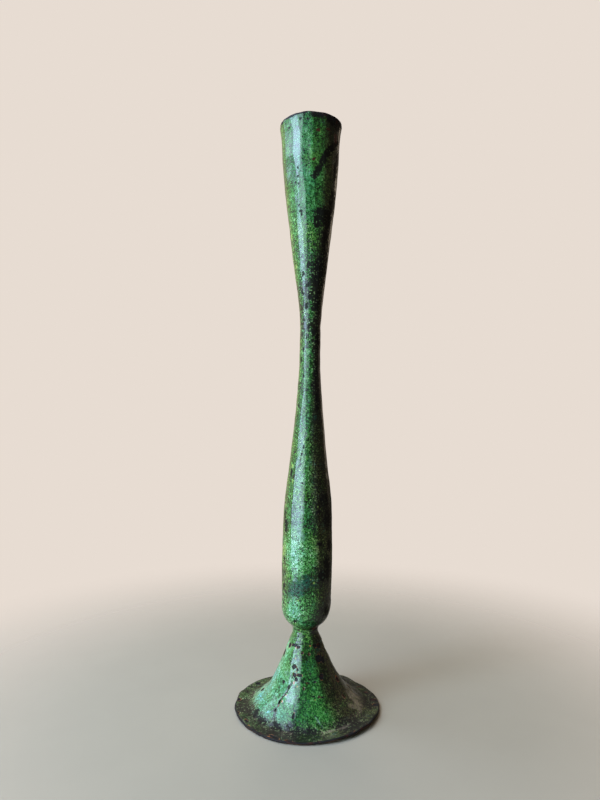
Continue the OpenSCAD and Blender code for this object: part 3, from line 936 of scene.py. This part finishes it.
def patina(name, weld=False):
    """The mottled green finish under wax, with dark specks, blots and chips down to the iron, and the painted
    light, shade and reflection that the pieces' fields carry.
    """
    g = Graph(name)
    broad = g.noise(38, 3, 0.6, 0.4)
    middle = g.noise(150, 5, 0.62, 0.6)
    grain = g.noise(620, 4, 0.65)
    fine = g.noise(1350, 2, 0.6)
    calm = g.read("calm")
    sharp = g.times(g.math("SUBTRACT", fine, 0.5), g.step(calm, 0, 1, 1.0, 0.55))
    # The mottling, lightened or darkened by the tone field, which is partly painted light and shade.
    value = g.weighed(
        (broad, 0.42), (middle, 0.34), (grain, 0.62), (sharp, 1.25, 0.0), (g.read("tone_and_painted_light"), 0.11, 0.0),
    )
    if weld:
        value = g.math("SUBTRACT", value, 0.02)
    green = g.ramp(value, [
        (0.33, (0.003, 0.014, 0.004)), (0.42, (0.009, 0.056, 0.011)), (0.50, (0.027, 0.132, 0.021)),
        (0.58, (0.056, 0.232, 0.040)), (0.67, (0.130, 0.360, 0.105)), (0.78, (0.310, 0.540, 0.260)),
    ])
    # Yellower and bluer drifts in the green.
    drift = g.noise(60, 3, 0.5, where=g.shifted(3))
    green = g.mix(g.step(drift, 0.50, 0.66, 0, 0.5), green, g.scaled(green, (1.6, 0.96, 0.55)))
    drift = g.noise(85, 3, 0.5, where=g.shifted(7))
    green = g.mix(g.step(drift, 0.52, 0.68, 0, 0.55), green, g.scaled(green, (0.6, 0.9, 1.5)))
    # The painted reflection tint: yellower where a warm reflection is painted, bluer where a cool highlight
    # is painted.
    green = g.mix(g.times(g.read("painted_sheen_tint"), 1.0, True), green, g.scaled(green, (1.9, 1.0, 0.6)))
    green = g.mix(g.times(g.read("painted_sheen_tint"), -1.0, True), green, g.scaled(green, (0.8, 1.0, 2.2)))
    # Dull olive brown, used on the brim and as painted shade on the right side.
    dull = g.ramp(value, [
        (0.33, (0.007, 0.006, 0.003)), (0.43, (0.031, 0.026, 0.010)), (0.52, (0.082, 0.073, 0.026)),
        (0.63, (0.175, 0.165, 0.070)), (0.76, (0.310, 0.310, 0.165)),
    ])
    brown_and_shade = g.times(g.read("brown_and_shade"), g.step(middle, 0.35, 0.6, 0.6, 1.0), True)
    colour = g.mix(brown_and_shade, green, dull)
    teal = g.step(g.weighed((g.read("teal"), 0.42, 0.0), (middle, 1.5), (fine, 1.3), base=0.0), 0.16, 0.36)
    colour = g.mix(g.times(teal, 0.8), colour, (0.003, 0.066, 0.046))
    # Pale flecks, then dark specks in drifts, then the marks.
    fleck, own = g.cells(820, g.shifted(5, 0.0012))
    many = g.weighed((g.read("speck"), -0.22, 0.0), base=0.76)
    flecks = g.times(g.step(fleck, 0.26, 0.44, 1, 0), g.math("GREATER_THAN", own, many))
    flecks = g.times(flecks, g.step(calm, 0, 1, 0.85, 0.3))
    flecks = g.times(flecks, g.step(g.read("brown_and_shade"), 0.2, 1.0, 1.0, 0.5))
    paler = g.step(g.read("speck"), 0.2, 1.3, 0.15, 0.5)
    flecked = g.mix(paler, g.scaled(colour, (3.4, 1.8, 3.0)), (0.26, 0.38, 0.16))
    pale = g.step(g.weighed((g.read("pale"), 1.0, 0.0), (grain, 1.2), base=0.0), 0.1, 0.5)
    colour = g.mix(g.times(pale, 0.75), colour, (0.26, 0.38, 0.08))
    density = g.times(g.read("speck"), g.step(calm, 0, 1, 1.0, 0.3))
    density = g.times(density, g.step(g.noise(70, 4, 0.6, where=g.shifted(17)), 0.38, 0.62))
    big, own = g.cells(480, g.shifted(11, 0.0016))
    size = g.weighed((grain, 0.8), base=0.30)
    present = g.math("LESS_THAN", own, g.times(density, 0.55))
    specks = g.times(present, g.step(g.math("SUBTRACT", big, size), -0.08, 0.03, 1, 0))
    small, own = g.cells(800, g.shifted(13, 0.0008))
    present = g.math("LESS_THAN", own, g.times(density, 0.9))
    small = g.times(present, g.step(small, 0.30, 0.46, 1, 0))
    lace = g.noise(560, 4, 0.75, where=g.shifted(19))
    laced = g.step(g.weighed((lace, 1.0), (density, 0.24, 0.5)), 0.505, 0.54)
    specks = g.most(g.most(specks, small), laced)
    ragged = g.times(g.math("SUBTRACT", g.noise(430, 5, 0.7), 0.5), 2.6)
    # Blots, with the painted shade in the foot's crease and under the cap.
    blot_and_shade = g.step(g.plus(g.read("blot_and_shade"), ragged), 0.10, 0.28)
    dark = g.most(g.times(specks, 0.93), g.times(blot_and_shade, 0.97))
    line = g.step(g.plus(g.read("line"), ragged), 0.36, 0.76)
    dark = g.most(dark, g.times(line, 0.85))
    colour = g.mix(dark, colour, BLACK_BROWN)
    colour = g.mix(flecks, colour, flecked)
    rust = g.step(g.plus(g.read("rust"), ragged), 0.05, 0.35)
    colour = g.mix(rust, colour, DEEP_RUST)
    chip_value = g.plus(g.read("chip"), g.times(ragged, 0.55))
    chip = g.step(chip_value, 0.08, 0.22)
    rusty = g.step(g.noise(240, 4, 0.6, where=g.shifted(23)), 0.48, 0.6)
    halo = g.times(g.step(chip_value, -0.12, 0.05), rusty)
    colour = g.mix(g.times(halo, 0.85), colour, RUST)
    iron = g.mix(g.step(g.noise(300, 5, 0.7, where=g.shifted(29)), 0.52, 0.70), IRON, DEEP_RUST)
    colour = g.mix(chip, colour, iron)
    colour = g.mix(g.step(g.plus(g.read("ember"), g.times(ragged, 0.8)), 0.1, 0.4), colour, RUST)
    bare = g.step(g.plus(g.read("bare"), g.times(ragged, 0.4)), 0.3, 0.7)
    colour = g.mix(bare, colour, iron)
    bloom = g.step(g.noise(90, 6, 0.7, where=g.shifted(31)), 0.42, 0.62)
    raw = g.mix(bloom, (0.022, 0.017, 0.014), (0.085, 0.036, 0.018))
    colour = g.mix(g.read("inside"), colour, raw)
    dabs = g.most(blot_and_shade, g.times(specks, 0.35))
    worn = g.most(g.most(chip, bare), g.times(dabs, 0.8))
    rough = g.step(grain, 0.3, 0.7, 0.30, 0.46)
    rough = g.plus(rough, g.times(g.read("brown_and_shade"), 0.16))
    rough = g.plus(rough, g.times(worn, 0.26))
    rough = g.plus(rough, g.times(g.read("inside"), 0.30))
    coat = g.step(g.plus(worn, g.read("inside")), 0.1, 0.8, 0.85, 0.05)
    coat = g.times(coat, g.step(g.read("brown_and_shade"), 0.0, 1.0, 1.0, 0.4))
    pits = g.plus(g.times(specks, 0.35), g.most(chip, g.times(blot_and_shade, 0.2)))
    loud = g.step(calm, 0, 1, 1.0, 0.35)
    normal = g.bumps((middle, 0.00020), (grain, 0.00012, loud), (fine, 0.00005, loud), (pits, -0.00014))
    waxed = g.bumps((middle, 0.00012), (grain, 0.00005, loud), (fine, 0.00002, loud), (pits, -0.00008))
    return g.finish(
        Base_Color=colour, Roughness=rough, Normal=normal, Coat_Weight=coat, Coat_Roughness=0.15,
        Coat_Normal=waxed, Specular_IOR_Level=0.2,
    )


def dark_iron(name):
    """Blackened iron with a rust-coloured bloom and fine scale."""
    g = Graph(name)
    cloud = g.noise(120, 5, 0.65, 0.5)
    grain = g.noise(700, 5, 0.65)
    colour = g.ramp(g.plus(g.times(cloud, 0.6), g.times(grain, 0.4)), [
        (0.38, (0.012, 0.010, 0.010)), (0.50, (0.030, 0.024, 0.021)), (0.60, (0.055, 0.036, 0.026)),
        (0.72, (0.110, 0.060, 0.035)),
    ])
    rough = g.step(grain, 0.3, 0.7, 0.38, 0.62)
    normal = g.bumps((cloud, 0.0002), (grain, 0.00012))
    return g.finish(Base_Color=colour, Roughness=rough, Normal=normal, Metallic=0.35)


MATERIALS = {
    "green_patina": patina("green_patina"),
    "seam_patina": patina("seam_patina", weld=True),
    "dark_iron": dark_iron("dark_iron"),
}
for node, spec in PIECES.items():
    build(node, MATERIALS[spec["slot"]])


# ---- floor, light and camera ----


def pale_floor(radius=0.4, columns=96):
    """A round pale floor that fades out towards its edge."""
    mesh = bpy.data.meshes.new("floor")
    turns = [2 * math.pi * k / columns for k in range(columns)]
    points = [(radius * math.cos(turn), radius * math.sin(turn), 0) for turn in turns]
    mesh.from_pydata(points, [], [tuple(range(columns))])
    g = Graph("floor")
    distance = g.node("ShaderNodeVectorMath", operation="LENGTH")
    g.put(distance.inputs[0], g.coordinates)
    clear = g.node("ShaderNodeBsdfTransparent")
    fade = g.node("ShaderNodeMixShader")
    g.put(fade.inputs[0], g.step(distance.outputs["Value"], 0.10, 0.36))
    g.put(fade.inputs[1], g.shader.outputs["BSDF"])
    g.put(fade.inputs[2], clear.outputs["BSDF"])
    g.put(g.tree.nodes["Material Output"].inputs["Surface"], fade.outputs["Shader"])
    mesh.materials.append(g.finish(
        Base_Color=g.mix(g.noise(30, 4, 0.5), (0.38, 0.33, 0.26), (0.41, 0.355, 0.28)), Roughness=0.7,
    ))
    floor = bpy.data.objects.new("floor", mesh)
    bpy.context.scene.collection.objects.link(floor)


def soft_light(name, azimuth, distance, height, size, aim, power, colour):
    """A rectangular area light at an azimuth from the front, aimed at a height on the axis."""
    turn = math.radians(azimuth)
    data = bpy.data.lights.new(name, "AREA")
    data.shape = "RECTANGLE"
    data.size, data.size_y = size
    data.energy = power
    data.color = colour
    light = bpy.data.objects.new(name, data)
    light.location = (distance * math.sin(turn), -distance * math.cos(turn), height)
    light.rotation_mode = "QUATERNION"
    light.rotation_quaternion = (Vector((0, 0, aim)) - light.location).to_track_quat("-Z", "Y")
    bpy.context.scene.collection.objects.link(light)


def studio():
    """Pale surroundings, and a soft glow from the left that falls off to the right."""
    world = bpy.data.worlds.new("studio")
    world.use_nodes = True
    tree = world.node_tree
    glow = tree.nodes["Background"]
    direction = tree.nodes.new("ShaderNodeTexCoord").outputs["Generated"]
    toward = tree.nodes.new("ShaderNodeVectorMath")
    toward.operation = "DOT_PRODUCT"
    tree.links.new(direction, toward.inputs[0])
    toward.inputs[1].default_value = (-0.46, 0.17, 0.1)
    shifted = tree.nodes.new("ShaderNodeMath")
    tree.links.new(toward.outputs["Value"], shifted.inputs[0])
    shifted.inputs[1].default_value = 0.5
    fall = tree.nodes.new("ShaderNodeValToRGB")
    tree.links.new(shifted.outputs["Value"], fall.inputs["Fac"])
    stops = fall.color_ramp.elements
    stops[0].position, stops[0].color = 0.0, (0.150, 0.120, 0.085, 1)
    stops[1].position, stops[1].color = 0.95, (0.75, 0.66, 0.46, 1)
    for position, colour in ((0.3, (0.075, 0.062, 0.045, 1)), (0.5, (0.022, 0.018, 0.014, 1)),
                             (0.67, (0.050, 0.044, 0.036, 1))):
        stops.new(position).color = colour
    tree.links.new(fall.outputs["Color"], glow.inputs["Color"])
    backdrop = tree.nodes.new("ShaderNodeBackground")
    backdrop.inputs["Color"].default_value = (0.80, 0.716, 0.645, 1)
    seen = tree.nodes.new("ShaderNodeLightPath")
    either = tree.nodes.new("ShaderNodeMixShader")
    tree.links.new(seen.outputs["Is Camera Ray"], either.inputs[0])
    tree.links.new(glow.outputs["Background"], either.inputs[1])
    tree.links.new(backdrop.outputs["Background"], either.inputs[2])
    tree.links.new(either.outputs["Shader"], tree.nodes["World Output"].inputs["Surface"])
    bpy.context.scene.world = world


pale_floor()
studio()
soft_light("window", -60, 1.1, 0.40, (0.36, 1.20), 0.25, 10.5, (0.52, 0.74, 1.08))
soft_light("window_glow", -45, 1.2, 0.45, (1.00, 1.20), 0.25, 17, (0.66, 0.88, 0.95))
soft_light("sky", -80, 0.8, 1.0, (1.4, 0.9), 0.03, 14, (0.60, 0.78, 1.08))
soft_light("edge", 140, 1.2, 0.50, (0.3, 0.8), 0.26, 1.4, (1.0, 0.82, 0.62))
soft_light("back", 180, 0.9, 1.3, (0.9, 0.5), 0.15, 7, (1.0, 0.90, 0.76))

# The camera looks along +Y and a little upwards.
CAMERA_PLACE, CAMERA_TILT = (-0.0044, -0.34965, 0.1707), 91.83
FOCAL_LENGTH, SENSOR_WIDTH, NEAREST_SEEN = 26, 36, 0.01

bpy.context.scene.view_settings.view_transform = "Standard"
lens = bpy.data.cameras.new("camera")
lens.sensor_width = SENSOR_WIDTH
lens.lens = FOCAL_LENGTH
camera = bpy.data.objects.new("camera", lens)
camera.location = CAMERA_PLACE
camera.rotation_euler = (math.radians(CAMERA_TILT), 0, 0)
lens.clip_start = NEAREST_SEEN
bpy.context.scene.collection.objects.link(camera)
bpy.context.scene.camera = camera
